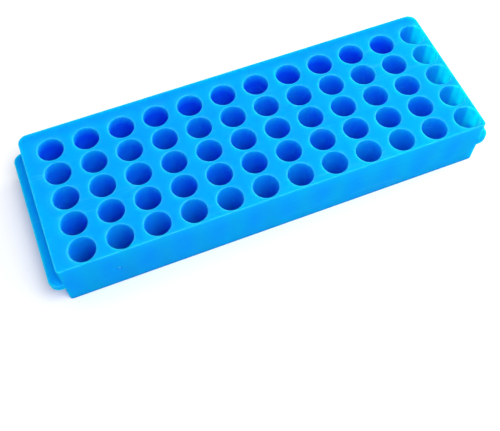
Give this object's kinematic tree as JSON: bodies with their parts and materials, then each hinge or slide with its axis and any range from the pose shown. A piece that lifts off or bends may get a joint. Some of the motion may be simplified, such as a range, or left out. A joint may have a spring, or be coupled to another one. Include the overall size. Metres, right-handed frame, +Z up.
{
  "type": "microcentrifuge tube rack",
  "caption": "Rectangular moulded rack with rows of round through wells for small lab tubes, usable either way up, with a lifting ledge across each end.",
  "frame": {"origin": "centre of the rack's length and width, on the reverse face that it rests on", "axes": "+X along the columns of wells, +Y towards the back with the wide margin, +Z up out of the wider well mouths"},
  "size_m": [0.2056, 0.0704, 0.027],
  "materials": {
    "blue_polypropylene": "satin"
  },
  "bodies": {
    "root": {"rack": "blue_polypropylene"}
  },
  "joints": []
}
